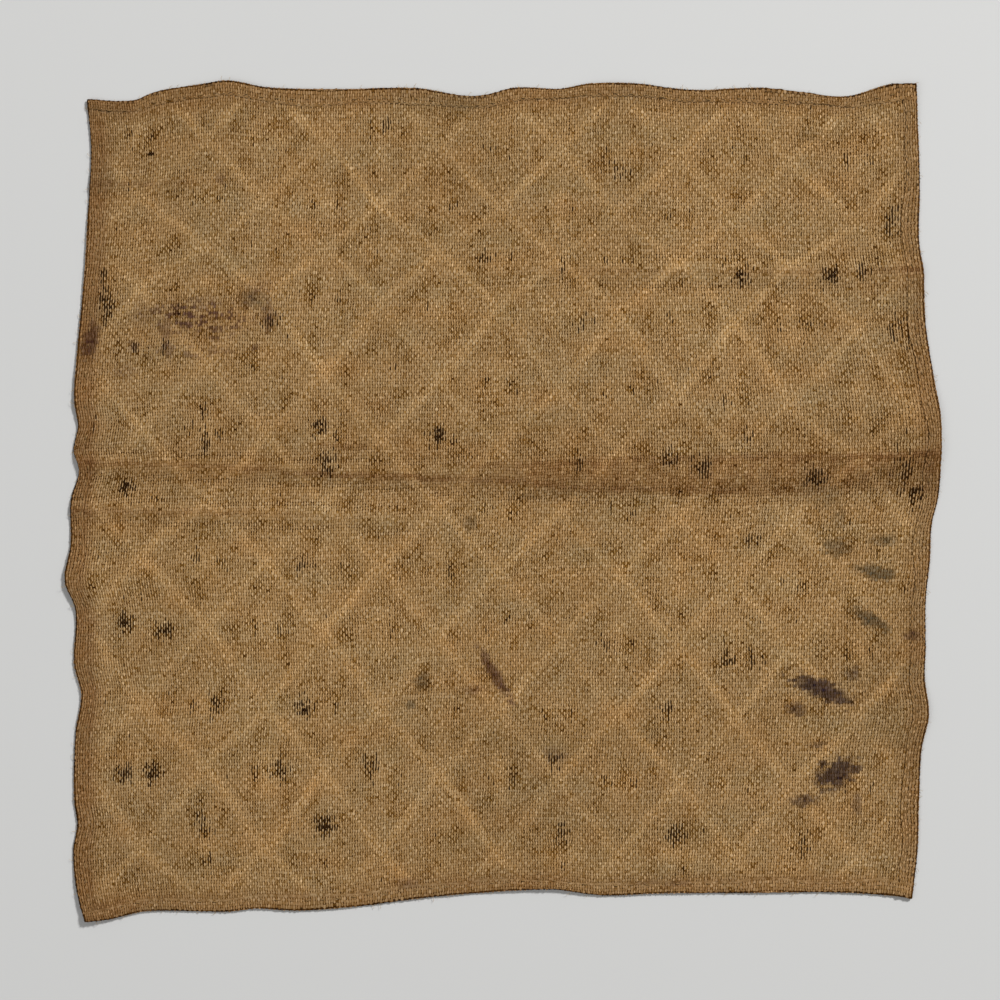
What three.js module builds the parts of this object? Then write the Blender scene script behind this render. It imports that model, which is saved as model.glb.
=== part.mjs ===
import * as THREE from 'three';

// Kuba cloth panel: one square of plain-woven raffia with a narrow hem turned up on all four sides.
// It lies flat with its wrong side up. Millimetres: X across the cloth, Y along it, Z up from the
// surface that it lies on. The origin is under the middle of the cloth.

const clothThickness = 1.2;
const hemThickness = 2.4;
const hemWidth = 8;
const hemSlope = 3;
const edgeRound = 0.9;
const columnCount = 36;
const rowsPerMillimetre = 1 / 14;
const raffiaColour = '#8d6e47';

// The four corners, which the straight lines between them join.
const corners = {
  topLeft: { x: -268, y: 259 },
  topRight: { x: 266, y: 269 },
  bottomRight: { x: 263.5, y: -256 },
  bottomLeft: { x: -269, y: -270.5 },
};

// How far each edge stands outside the straight line between its corners: x or y is the place on
// that line, and out is the distance, less than nothing where the edge draws in.
const topEdge = [
  { x: -268, out: 0 },
  { x: -239, out: -1.2 },
  { x: -224, out: 4.3 },
  { x: -195, out: 8.3 },
  { x: -177, out: 10.2 },
  { x: -152, out: 5.5 },
  { x: -105, out: 3.6 },
  { x: -56, out: 3.3 },
  { x: -26, out: -2.1 },
  { x: -12, out: -2 },
  { x: 8, out: 2.4 },
  { x: 37, out: 1.2 },
  { x: 56, out: 4.1 },
  { x: 86, out: 3.5 },
  { x: 121, out: -1.1 },
  { x: 166, out: -0.6 },
  { x: 192, out: -3.7 },
  { x: 221, out: -7.2 },
  { x: 248, out: -0.3 },
  { x: 266, out: 0 },
];
const bottomEdge = [
  { x: -269, out: 0 },
  { x: -253, out: -1.2 },
  { x: -228, out: -5.6 },
  { x: -177, out: -3.9 },
  { x: -157, out: -5.3 },
  { x: -132, out: -3.3 },
  { x: -92, out: -5.1 },
  { x: -53, out: -9.1 },
  { x: -15, out: -11.6 },
  { x: 32, out: -12.6 },
  { x: 63, out: -7.9 },
  { x: 101, out: -8.1 },
  { x: 153, out: -7 },
  { x: 217, out: -5.5 },
  { x: 256, out: -1.8 },
  { x: 263.5, out: 0 },
];
const leftEdge = [
  { y: -270.5, out: 0 },
  { y: -251, out: 5.5 },
  { y: -225, out: 7.9 },
  { y: -209, out: 5.3 },
  { y: -193, out: 7.3 },
  { y: -151, out: 6.7 },
  { y: -125, out: 2.9 },
  { y: -105, out: 7.5 },
  { y: -70, out: 6.6 },
  { y: -51, out: 13.4 },
  { y: -28, out: 9.9 },
  { y: 1, out: 9.7 },
  { y: 20, out: 4.6 },
  { y: 33, out: 8.2 },
  { y: 49, out: 5.3 },
  { y: 65, out: 7.6 },
  { y: 91, out: 6.4 },
  { y: 136, out: 2.3 },
  { y: 185, out: -0.8 },
  { y: 227, out: -2.7 },
  { y: 259, out: 0 },
];
const rightEdge = [
  { y: -256, out: 0 },
  { y: -225, out: 3.4 },
  { y: -193, out: 4.2 },
  { y: -160, out: 5.7 },
  { y: -138, out: 10.1 },
  { y: -115, out: 7.5 },
  { y: -93, out: 8 },
  { y: -64, out: 7.9 },
  { y: -38, out: 10.4 },
  { y: -15, out: 11.5 },
  { y: 4, out: 15.7 },
  { y: 35, out: 17.1 },
  { y: 56, out: 16.7 },
  { y: 82, out: 12.1 },
  { y: 114, out: 7.1 },
  { y: 149, out: 5.4 },
  { y: 169, out: 2.4 },
  { y: 207, out: 2.8 },
  { y: 269, out: 0 },
];

// Old fold lines that cross the cloth, from the bottom up. The cloth lifts along each by height,
// over reach to either side.
const folds = [
  [
    { x: -280, y: -5, height: 1.1, reach: 9 },
    { x: -108, y: -10, height: 0.9, reach: 9 },
    { x: -30, y: -14, height: 0, reach: 9 },
    { x: 285, y: -16, height: 0, reach: 9 },
  ],
  [
    { x: -280, y: 25, height: 1.3, reach: 10 },
    { x: -98, y: 18, height: 1.4, reach: 10 },
    { x: -6, y: 16, height: 1.9, reach: 15 },
    { x: 90, y: 17, height: 2.2, reach: 19 },
    { x: 205, y: 18, height: 2.1, reach: 18 },
    { x: 243, y: 25, height: 1.7, reach: 12 },
    { x: 285, y: 34, height: 1.4, reach: 10 },
  ],
  [
    { x: -280, y: 150, height: 0, reach: 10 },
    { x: 0, y: 149, height: 0.2, reach: 10 },
    { x: 60, y: 148, height: 0.9, reach: 10 },
    { x: 130, y: 148, height: 1.5, reach: 12 },
    { x: 285, y: 147, height: 1.2, reach: 11 },
  ],
  [
    { x: -280, y: 205, height: 0.9, reach: 9 },
    { x: -204, y: 205, height: 0.5, reach: 9 },
    { x: -170, y: 206, height: 0, reach: 9 },
    { x: 285, y: 210, height: 0, reach: 9 },
  ],
];

// Places where the rim has dried out of the flat and stands a little off the surface.
const cockles = [
  { x: -176, y: 268, height: 1.6, reach: 42 },
  { x: -18, y: 262, height: 1.2, reach: 30 },
  { x: 70, y: 269, height: 1.1, reach: 40 },
  { x: 262, y: 266, height: 1.8, reach: 38 },
  { x: 281, y: 40, height: 2.2, reach: 50 },
  { x: 273, y: -138, height: 1.4, reach: 30 },
  { x: 30, y: -250, height: 1.3, reach: 44 },
  { x: -268, y: -268, height: 2, reach: 40 },
  { x: -282, y: -52, height: 1.9, reach: 34 },
  { x: -277, y: 66, height: 1.2, reach: 30 },
];

// A smooth curve through the rows of a table, from one named column to another.
function along(table, key, place, value) {
  const last = table.length - 1;
  const at = THREE.MathUtils.clamp(place, table[0][key], table[last][key]);
  let i = 0;
  while (i < last - 1 && at > table[i + 1][key]) i += 1;
  const slope = (j) => {
    const before = table[Math.max(j - 1, 0)];
    const after = table[Math.min(j + 1, last)];
    return (after[value] - before[value]) / (after[key] - before[key]);
  };
  const span = table[i + 1][key] - table[i][key];
  const t = (at - table[i][key]) / span;
  const start = table[i][value] * (1 + 2 * t) * (1 - t) ** 2 + slope(i) * span * t * (1 - t) ** 2;
  const end = table[i + 1][value] * (3 - 2 * t) * t ** 2 - slope(i + 1) * span * (1 - t) * t ** 2;
  return start + end;
}

const { lerp } = THREE.MathUtils;
const fade = (distance) => (1 - distance) ** 3;

// The place on the cloth of u across it and v up it, both from 0 to 1. The waves of each edge
// die away inside the cloth.
function placeOnCloth(u, v) {
  const bottomX = lerp(corners.bottomLeft.x, corners.bottomRight.x, u);
  const topX = lerp(corners.topLeft.x, corners.topRight.x, u);
  const leftY = lerp(corners.bottomLeft.y, corners.topLeft.y, v);
  const rightY = lerp(corners.bottomRight.y, corners.topRight.y, v);
  const outLeft = along(leftEdge, 'y', leftY, 'out') * fade(u);
  const outRight = along(rightEdge, 'y', rightY, 'out') * fade(1 - u);
  const outBottom = along(bottomEdge, 'x', bottomX, 'out') * fade(v);
  const outTop = along(topEdge, 'x', topX, 'out') * fade(1 - v);
  return {
    x: lerp(bottomX, topX, v) + outRight - outLeft,
    y: lerp(leftY, rightY, u) + outTop - outBottom,
  };
}

// A soft bump that is 1 in its middle and nothing from its reach on.
function bump(distance, reach) {
  return distance < reach ? (1 + Math.cos((Math.PI * distance) / reach)) / 2 : 0;
}

function liftAt({ x, y }) {
  let lift = 0;
  for (const fold of folds) {
    const distance = Math.abs(y - along(fold, 'x', x, 'y'));
    lift += Math.max(0, along(fold, 'x', x, 'height')) * bump(distance, along(fold, 'x', x, 'reach'));
  }
  for (const cockle of cockles) {
    lift += cockle.height * bump(Math.hypot(x - cockle.x, y - cockle.y), cockle.reach);
  }
  return lift;
}

const clothWidth = corners.topRight.x - corners.topLeft.x;
const clothHeight = corners.topLeft.y - corners.bottomLeft.y;

// Columns stand close together at the hems and evenly spaced between them.
function columnPlaces() {
  const hem = [edgeRound, hemWidth, hemWidth + hemSlope].map((d) => d / clothWidth);
  const places = [...hem];
  for (let i = 1; i < columnCount; i += 1) places.push(lerp(hem[2], 1 - hem[2], i / columnCount));
  return [...places, ...hem.map((d) => 1 - d).reverse()];
}

// How far up the cloth a height y is reached in the column at u.
function heightToV(u, y) {
  let low = 0;
  let high = 1;
  for (let step = 0; step < 30; step += 1) {
    const middle = (low + high) / 2;
    if (placeOnCloth(u, middle).y < y) low = middle;
    else high = middle;
  }
  return (low + high) / 2;
}

// Rows follow the hems and the old folds, with evenly spaced rows between them.
function rowPlaces(u, rowCounts) {
  const hem = [edgeRound, hemWidth, hemWidth + hemSlope].map((d) => d / clothHeight);
  const x = placeOnCloth(u, 0.5).x;
  const places = [...hem];
  const stops = folds.map((fold) => {
    const reach = along(fold, 'x', x, 'reach');
    const middle = along(fold, 'x', x, 'y');
    return [-1, -0.5, 0, 0.5, 1].map((side) => heightToV(u, middle + side * reach));
  });
  stops.push(hem.map((d) => 1 - d).reverse());
  stops.forEach((stop, k) => {
    const start = places[places.length - 1];
    for (let i = 1; i < rowCounts[k]; i += 1) places.push(lerp(start, stop[0], i / rowCounts[k]));
    places.push(...stop);
  });
  return places;
}

function rowCountsBetweenStops() {
  const middles = folds.map((fold) => along(fold, 'x', 0, 'y'));
  const levels = [corners.bottomLeft.y, ...middles, corners.topLeft.y];
  return levels.slice(1).map((level, k) => {
    const gap = level - levels[k];
    return Math.max(1, Math.round(gap * rowsPerMillimetre) - 1);
  });
}

// Two layers of cloth where the hem is turned up, and one inside it.
function thicknessAt(column, row, lastColumn, lastRow) {
  const inHem = Math.min(column, row, lastColumn - column, lastRow - row) < 2;
  return inHem ? hemThickness : clothThickness;
}

function clothPanelGeometry() {
  const columns = columnPlaces();
  const rowCounts = rowCountsBetweenStops();
  const rows = columns.map((u) => rowPlaces(u, rowCounts));
  const lastColumn = columns.length - 1;
  const lastRow = rows[0].length - 1;
  const perLayer = columns.length * rows[0].length;
  const points = [];
  const faces = [];

  for (const upper of [0, 1]) {
    columns.forEach((u, i) => {
      rows[i].forEach((v, j) => {
        const place = placeOnCloth(u, v);
        const thickness = thicknessAt(i, j, lastColumn, lastRow);
        points.push(place.x, place.y, liftAt(place) + upper * thickness);
      });
    });
  }
  const under = (i, j) => i * (lastRow + 1) + j;
  const over = (i, j) => perLayer + under(i, j);
  const quad = (a, b, c, d) => faces.push(a, b, c, a, c, d);
  for (let i = 0; i < lastColumn; i += 1) {
    for (let j = 0; j < lastRow; j += 1) {
      quad(over(i, j), over(i + 1, j), over(i + 1, j + 1), over(i, j + 1));
      quad(under(i, j), under(i, j + 1), under(i + 1, j + 1), under(i + 1, j));
    }
  }

  // The rim, round once anticlockwise: a rounded turn of the cloth, furthest out at half height.
  const rim = [];
  for (let i = 0; i < lastColumn; i += 1) rim.push([i, 0]);
  for (let j = 0; j < lastRow; j += 1) rim.push([lastColumn, j]);
  for (let i = lastColumn; i > 0; i -= 1) rim.push([i, lastRow]);
  for (let j = lastRow; j > 0; j -= 1) rim.push([0, j]);
  const rimStart = points.length / 3;
  for (const [i, j] of rim) {
    const u = i === 0 ? 0 : i === lastColumn ? 1 : columns[i];
    const v = j === 0 ? 0 : j === lastRow ? 1 : rows[i][j];
    const place = placeOnCloth(u, v);
    points.push(place.x, place.y, liftAt(place) + hemThickness / 2);
  }
  rim.forEach(([i, j], k) => {
    const next = (k + 1) % rim.length;
    const [nextI, nextJ] = rim[next];
    quad(under(i, j), under(nextI, nextJ), rimStart + next, rimStart + k);
    quad(rimStart + k, rimStart + next, over(nextI, nextJ), over(i, j));
  });

  const geometry = new THREE.BufferGeometry();
  geometry.setAttribute('position', new THREE.Float32BufferAttribute(points, 3));
  geometry.setIndex(faces);
  geometry.computeVertexNormals();
  return geometry;
}

const panel = new THREE.Mesh(
  clothPanelGeometry(),
  new THREE.MeshStandardMaterial({ color: raffiaColour, roughness: 0.85, metalness: 0 }),
);
panel.name = 'cloth_panel';

const group = new THREE.Group();
group.add(panel);

export default group;
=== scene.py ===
import math

import bpy
import numpy as np
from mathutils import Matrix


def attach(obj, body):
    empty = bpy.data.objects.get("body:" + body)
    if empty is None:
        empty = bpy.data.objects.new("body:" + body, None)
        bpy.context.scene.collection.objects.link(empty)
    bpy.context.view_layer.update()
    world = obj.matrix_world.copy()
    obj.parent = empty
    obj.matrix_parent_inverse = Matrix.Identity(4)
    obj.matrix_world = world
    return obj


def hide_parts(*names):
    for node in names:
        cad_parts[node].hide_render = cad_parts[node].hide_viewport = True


# A hemmed panel of plain-woven raffia, wrong side up on a pale floor. Tables are in millimetres,
# as in the solid's own drawing, and what is built from them is in metres.

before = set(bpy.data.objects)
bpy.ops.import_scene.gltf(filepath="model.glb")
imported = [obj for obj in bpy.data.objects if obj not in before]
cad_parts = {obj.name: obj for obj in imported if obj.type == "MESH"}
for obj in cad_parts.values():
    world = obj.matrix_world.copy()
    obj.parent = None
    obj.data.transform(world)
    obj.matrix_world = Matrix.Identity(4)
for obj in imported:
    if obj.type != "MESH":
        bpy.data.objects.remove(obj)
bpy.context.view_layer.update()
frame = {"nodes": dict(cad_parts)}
scene = bpy.context.scene
scene.view_settings.view_transform = "Standard"
mm = 0.001
print("frame loaded:", ", ".join(frame["nodes"]))


class Wire:
    # an output socket, so that sums and products of sockets add their Math nodes

    def __init__(self, board, socket):
        self.board = board
        self.socket = socket

    def maths(self, operation, other=None, swapped=False):
        values = [self] if other is None else [other, self] if swapped else [self, other]
        return self.board.add("ShaderNodeMath", dict(enumerate(values)), operation=operation)

    def __add__(self, other):
        return self.maths("ADD", other)

    def __radd__(self, other):
        return self.maths("ADD", other)

    def __sub__(self, other):
        return self.maths("SUBTRACT", other)

    def __rsub__(self, other):
        return self.maths("SUBTRACT", other, swapped=True)

    def __mul__(self, other):
        return self.maths("MULTIPLY", other)

    def __rmul__(self, other):
        return self.maths("MULTIPLY", other)

    def __truediv__(self, other):
        return self.maths("DIVIDE", other)

    def __rtruediv__(self, other):
        return self.maths("DIVIDE", other, swapped=True)

    def __abs__(self):
        return self.maths("ABSOLUTE")

    def over(self, other):
        return self.maths("GREATER_THAN", other)

    def whole(self):
        return self.maths("ROUND")


class Board:
    # one node tree, and the one way that its nodes are made

    def __init__(self, tree):
        self.tree = tree

    def add(self, kind, inputs=None, output=0, **settings):
        node = self.tree.nodes.new(kind)
        for name, value in settings.items():
            setattr(node, name, value)
        for key, value in (inputs or {}).items():
            if isinstance(value, Wire):
                self.tree.links.new(value.socket, node.inputs[key])
            else:
                node.inputs[key].default_value = value
        return Wire(self, node.outputs[output])

    def mix(self, factor, first, second, blend="MIX"):
        pair = ((*colour, 1.0) if isinstance(colour, tuple) else colour for colour in (first, second))
        inputs = dict(zip((0, 6, 7), (factor, *pair)))
        return self.add("ShaderNodeMix", inputs, 2, data_type="RGBA", blend_type=blend)

    def vector(self, operation, first, second):
        return self.add("ShaderNodeVectorMath", {0: first, 1: second}, operation=operation)

    def scaled(self, vector, factor):
        return self.add("ShaderNodeVectorMath", {0: vector, "Scale": factor}, operation="SCALE")

    def joined(self, x=0.0, y=0.0, z=0.0):
        return self.add("ShaderNodeCombineXYZ", {0: x, 1: y, 2: z})

    def span(self, value, low, high):
        inputs = {0: value, 1: low, 2: high}
        return self.add("ShaderNodeMapRange", inputs, interpolation_type="SMOOTHSTEP")

    def named(self, name, kind="FLOAT"):
        return self.add("GeometryNodeInputNamedAttribute", {"Name": name}, data_type=kind)

    def chance(self, kind, inputs):
        output = {"FLOAT_VECTOR": 0, "FLOAT": 1, "BOOLEAN": 3}[kind]
        return self.add("FunctionNodeRandomValue", inputs, output, data_type=kind)


# The outline and the fold lines, as in the solid. Each table has one column for each name.

corners = {
    "topLeft": (-268, 259),
    "topRight": (266, 269),
    "bottomRight": (263.5, -256),
    "bottomLeft": (-269, -270.5),
}
clothWide = corners["topRight"][0] - corners["topLeft"][0]
clothTall = corners["topLeft"][1] - corners["bottomLeft"][1]

topEdge = {
    "x": (-268, -239, -224, -195, -177, -152, -105, -56, -26, -12,
          8, 37, 56, 86, 121, 166, 192, 221, 248, 266),
    "out": (0, -1.2, 4.3, 8.3, 10.2, 5.5, 3.6, 3.3, -2.1, -2,
            2.4, 1.2, 4.1, 3.5, -1.1, -0.6, -3.7, -7.2, -0.3, 0),
}
bottomEdge = {
    "x": (-269, -253, -228, -177, -157, -132, -92, -53, -15, 32, 63, 101, 153, 217, 256, 263.5),
    "out": (0, -1.2, -5.6, -3.9, -5.3, -3.3, -5.1, -9.1, -11.6, -12.6, -7.9, -8.1, -7, -5.5, -1.8, 0),
}
leftEdge = {
    "y": (-270.5, -251, -225, -209, -193, -151, -125, -105, -70, -51, -28,
          1, 20, 33, 49, 65, 91, 136, 185, 227, 259),
    "out": (0, 5.5, 7.9, 5.3, 7.3, 6.7, 2.9, 7.5, 6.6, 13.4, 9.9,
            9.7, 4.6, 8.2, 5.3, 7.6, 6.4, 2.3, -0.8, -2.7, 0),
}
rightEdge = {
    "y": (-256, -225, -193, -160, -138, -115, -93, -64, -38, -15, 4, 35, 56, 82, 114, 149, 169, 207, 269),
    "out": (0, 3.4, 4.2, 5.7, 10.1, 7.5, 8, 7.9, 10.4, 11.5, 15.7, 17.1, 16.7, 12.1, 7.1, 5.4, 2.4, 2.8, 0),
}
folds = {
    "lower": {
        "x": (-280, -108, -30, 285),
        "y": (-5, -10, -14, -16),
        "height": (1.1, 0.9, 0, 0),
        "reach": (9, 9, 9, 9),
    },
    "middle": {
        "x": (-280, -98, -6, 90, 205, 243, 285),
        "y": (25, 18, 16, 17, 18, 25, 34),
        "height": (1.3, 1.4, 1.9, 2.2, 2.1, 1.7, 1.4),
        "reach": (10, 10, 15, 19, 18, 12, 10),
    },
    "upper": {
        "x": (-280, 0, 60, 130, 285),
        "y": (150, 149, 148, 148, 147),
        "height": (0, 0.2, 0.9, 1.5, 1.2),
        "reach": (10, 10, 10, 12, 11),
    },
    "top": {
        "x": (-280, -204, -170, 285),
        "y": (205, 205, 206, 210),
        "height": (0.9, 0.5, 0, 0),
        "reach": (9, 9, 9, 9),
    },
}
cockles = {
    "x": (-176, -18, 70, 262, 281, 273, 30, -268, -282, -277),
    "y": (268, 262, 269, 266, 40, -138, -250, -268, -52, 66),
    "height": (1.6, 1.2, 1.1, 1.8, 2.2, 1.4, 1.3, 2, 1.9, 1.2),
    "reach": (42, 30, 40, 38, 50, 30, 44, 40, 34, 30),
}


def curve(table, key, value, place):
    # a smooth curve through the rows of a table
    at, out = np.array(table[key], float), np.array(table[value], float)
    before, after = np.maximum(np.arange(len(at)) - 1, 0), np.minimum(np.arange(len(at)) + 1, len(at) - 1)
    slope = (out[after] - out[before]) / (at[after] - at[before])
    place = np.clip(place, at[0], at[-1])
    i = np.clip(np.searchsorted(at, place, side="right") - 1, 0, len(at) - 2)
    gap = at[i + 1] - at[i]
    t = (place - at[i]) / gap
    start = out[i] * (1 + 2 * t) * (1 - t) ** 2 + slope[i] * gap * t * (1 - t) ** 2
    return start + out[i + 1] * (3 - 2 * t) * t**2 - slope[i + 1] * gap * (1 - t) * t**2


def rowsOf(table):
    return zip(*table.values())


def between(a, b, t):
    return a + (b - a) * t


def soft(value, low, high):
    # from 0 at low to 1 at high, level at both
    t = np.clip((value - low) / (high - low), 0, 1)
    return t * t * (3 - 2 * t)


def hill(distance, reach):
    # 1 in the middle, a little over a third at the reach, and never quite nothing
    return np.exp(-((distance / reach) ** 2))


def bump(distance, reach):
    # 1 in the middle, and nothing from the reach on
    return np.where(distance < reach, (1 + np.cos(np.pi * np.minimum(distance / reach, 1))) / 2, 0)


def wander(x, y, size, seed, waves=7):
    # a slow drift over the cloth, from about -1 to 1, that changes over about the given size
    random = np.random.default_rng(seed)
    total = np.zeros(np.broadcast(x, y).shape)
    for _ in range(waves):
        heading, phase = random.uniform(0, 2 * np.pi), random.uniform(0, 2 * np.pi)
        pitch = size * random.uniform(0.7, 1.8)
        total += np.sin(2 * np.pi * (x * np.cos(heading) + y * np.sin(heading)) / pitch + phase)
    return total / np.sqrt(waves)


def edgeWave(table, key, place, inward):
    # how far the cloth stands out of an edge's chord, from 0 at the edge to 1 at the far one: the
    # edge's long waves reach further in than its short ones
    steps, window = np.arange(-60, 61, 10), 65
    shares = 1 + np.cos(np.pi * steps / window)
    long = sum(share * curve(table, key, "out", place + step) for step, share in zip(steps, shares))
    long = long / shares.sum()
    short = curve(table, key, "out", place) - long
    return long * (1 - inward) ** 3 + short * (1 - inward) ** 14


def placeOnCloth(u, v):
    # u across and v up the cloth, from 0 to 1, to x and y; the edges' waves die away inside
    bottomX = between(corners["bottomLeft"][0], corners["bottomRight"][0], u)
    topX = between(corners["topLeft"][0], corners["topRight"][0], u)
    leftY = between(corners["bottomLeft"][1], corners["topLeft"][1], v)
    rightY = between(corners["bottomRight"][1], corners["topRight"][1], v)
    outX = edgeWave(rightEdge, "y", rightY, 1 - u) - edgeWave(leftEdge, "y", leftY, u)
    outY = edgeWave(topEdge, "x", topX, 1 - v) - edgeWave(bottomEdge, "x", bottomX, v)
    return between(bottomX, topX, v) + outX, between(leftY, rightY, u) + outY


def liftAt(x, y):
    lift = np.zeros_like(x)
    for fold in folds.values():
        distance = np.abs(y - curve(fold, "x", "y", x))
        lift += np.maximum(0, curve(fold, "x", "height", x)) * bump(distance, curve(fold, "x", "reach", x))
    for middleX, middleY, height, reach in rowsOf(cockles):
        lift += height * bump(np.hypot(x - middleX, y - middleY), reach)
    return lift


# The weaver's draft: one point for each crossing of a warp with a weft, hems included. It says
# where the two cross, which one is on top, and what marks the cloth has there.

weave = {
    "warps": 320,
    "wefts": 276,
    "hemWarps": 5,
    "hemWefts": 4,
    "crowding": 0.07,  # how much closer than the mean the warps stand at the left
    "turn": 0.5,  # radius of the hem's turned edge
    "pressed": 0.44,  # how much flatter the raw edge lies than the fold
    "handTurned": 0.16,  # how much the hem's width varies
    "level": 0.69,  # the middle of the cloth over the floor
    "wave": 0.3,  # how far a thread rises and dips at its crossings
    "crown": 0.2,  # how far a thread's middle stands over its sides
    "seed": 11,
}


def turnOver(flat, size):
    # where a place on the flat cloth goes once the hem is turned: its place, and its height
    turn = weave["turn"]
    inward = np.minimum(flat, size - flat)
    angle = np.clip((turn - inward) / turn, 0, np.pi)
    past = np.clip(turn - inward - np.pi * turn, 0, None)
    place = np.where(inward > turn, inward, turn - turn * np.sin(angle) + past)
    pressed = 1 - weave["pressed"] * soft(past, 2.5, 7)
    return np.where(flat > size / 2, size - place, place), turn * (1 - np.cos(angle)) * pressed


def layCloth(flatX, flatY):
    # places on the flat cloth, in from its left and bottom folds, to points of the laid cloth
    placeX, highX = turnOver(flatX, clothWide)
    placeY, highY = turnOver(flatY, clothTall)
    x, y = placeOnCloth(placeX / clothWide, placeY / clothTall)
    fromSide = np.minimum(placeX, clothWide - placeX)
    over = 1 + soft(-fromSide, -12, -7)  # the top and bottom hems pass over the side hems
    high = weave["level"] + liftAt(x, y) + highX + highY * np.where(highX > 0, 1, over)
    turned = -0.8 * weave["turn"]
    inCorner = np.minimum(flatX, clothWide - flatX) < turned
    inCorner &= np.minimum(flatY, clothTall - flatY) < turned
    return np.stack([x, y, high], axis=-1), inCorner


def flatPlaces(count, hemCount, size, crowding):
    # the first and the last of the count are on the folds, and the hems have hemCount more
    t = np.arange(-hemCount, count + hemCount + 1) / count
    beyond = (math.pi / 2 - 1) * weave["turn"]
    return (size + 2 * beyond) * (t + crowding * (t * t - t)) - beyond


def turnedByHand(flatX, flatY):
    # the hem is wider here and narrower there
    def stretched(flat, size, along, seed):
        share = 1 + weave["handTurned"] * wander(along, 0.0, 48, seed)
        return np.where(flat < 0, flat * share, np.where(flat > size, size + (flat - size) * share, flat))

    return stretched(flatX, clothWide, flatY, 61), stretched(flatY, clothTall, flatX, 62)


random = np.random.default_rng(weave["seed"])


def uneven(shape):
    # chance differences from each crossing to the next, which even out over a few threads
    chance = random.standard_normal(shape)
    around = sum(np.roll(chance, step, axis) for step in (1, -1) for axis in (0, 1)) / 4
    return (chance - around) / 1.12


flatX = flatPlaces(weave["warps"], weave["hemWarps"], clothWide, weave["crowding"])
flatY = flatPlaces(weave["wefts"], weave["hemWefts"], clothTall, 0.0)
warpTotal, weftTotal = len(flatX), len(flatY)
gridX, gridY = np.meshgrid(flatX, flatY, indexing="ij")
driftX = 0.3 * wander(gridX, gridY, 60, 21) + 0.15 * wander(gridX, gridY, 11, 23)
driftY = 0.4 * wander(gridX, gridY, 70, 22) + 0.2 * wander(gridX, gridY, 13, 24)
gridX = gridX + driftX + 0.03 * random.standard_normal((warpTotal, 1)) + 0.04 * uneven(gridX.shape)
gridY = gridY + driftY + 0.04 * random.standard_normal((1, weftTotal)) + 0.1 * uneven(gridX.shape)
gridX, gridY = turnedByHand(gridX, gridY)
points, inCorner = layCloth(gridX, gridY)
x, y = points[..., 0], points[..., 1]
nearby = 0.2
eastward = (layCloth(gridX + nearby, gridY)[0] - layCloth(gridX - nearby, gridY)[0]) / (2 * nearby)
northward = (layCloth(gridX, gridY + nearby)[0] - layCloth(gridX, gridY - nearby)[0]) / (2 * nearby)
acrossWarps = eastward * np.gradient(gridX, axis=0)[..., None]
acrossWefts = northward * np.gradient(gridY, axis=1)[..., None]
upward = np.cross(eastward, northward)
upward /= np.linalg.norm(upward, axis=-1, keepdims=True)
placeX, placeY = turnOver(gridX, clothWide)[0], turnOver(gridY, clothTall)[0]
fromSides = np.minimum(placeX, clothWide - placeX)
fromEnds = np.minimum(placeY, clothTall - placeY)
fromFold = np.minimum(fromSides, fromEnds)
fromEdge = np.minimum(np.minimum(gridX, clothWide - gridX), np.minimum(gridY, clothTall - gridY))
inside = soft(fromEdge, 7, 16)
print("draft laid out:", warpTotal, "warps by", weftTotal, "wefts")

# The lattice of diamonds that the pile stitches of the other side show through as. Its lines
# cross where column and row are both even or both odd. Rows slope, so they have a left and a right.
lattice = {
    "column": (-305, -269, -234, -191, -153, -115, -79, -41, -3, 37, 74, 114, 150, 185, 229, 263, 300),
    "firstColumn": -3,
    "rowLeft": (315, 275, 235, 195, 165, 136, 87, 45, 1, -37, -80, -132, -171, -224, -260, -300),
    "rowRight": (300, 260, 219, 179, 150, 112, 61, 27, -13, -55, -97, -141, -185, -231, -270, -305),
    "firstRow": -2,
    "leftAt": -195,
    "rightAt": 230,
    "straying": 0.8,
    "tone": {"line": 1.1, "node": 0.4, "spot": 1.4, "ring": -0.21, "field": -0.22},
    "ribs": {"line": -0.58, "eye": 0.55, "ring": 0.13, "drift": 0.21, "field": 0.1},
}


def latticePlace(x, y):
    column = np.interp(x, lattice["column"], np.arange(len(lattice["column"]))) + lattice["firstColumn"]
    t = (x - lattice["leftAt"]) / (lattice["rightAt"] - lattice["leftAt"])
    levels = [between(left, right, t) for left, right in zip(lattice["rowLeft"], lattice["rowRight"])]
    row = np.full_like(x, float(lattice["firstRow"]))
    for upper, lower in zip(levels, levels[1:]):
        row += np.clip((upper - y) / (upper - lower), 0, 1)
    return column, row


def perNumber(numbers, low, high, kinds, seed):
    # chance values of several kinds, the same wherever a number comes up again
    values = np.random.default_rng(seed).uniform(low, high, (kinds, 997))
    return values[:, numbers.astype(int) % values.shape[1]]


strayX, strayY = (lattice["straying"] * wander(x, y, 45, seed) for seed in (31, 32))
column, row = latticePlace(x + strayX, y + strayY)
total, difference = (column + row) / 2, (column - row) / 2
rising, falling = (column + row) % 2 - 1, (column - row) % 2 - 1
onRising = np.abs(rising) > np.abs(falling)
toLine = 1 - np.maximum(np.abs(rising), np.abs(falling))
lineNumber = np.where(onRising, np.rint(total), np.floor(total)) * 17 + onRising * 431
lineNumber += np.where(onRising, np.floor(difference), np.rint(difference)) * 5
lineShare = perNumber(lineNumber, 0.45, 1.25, 1, 42)[0]
lines = (1 - soft(toLine + 0.02 * wander(x, y, 12, 37), 0.06, 0.135)) * lineShare

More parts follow.
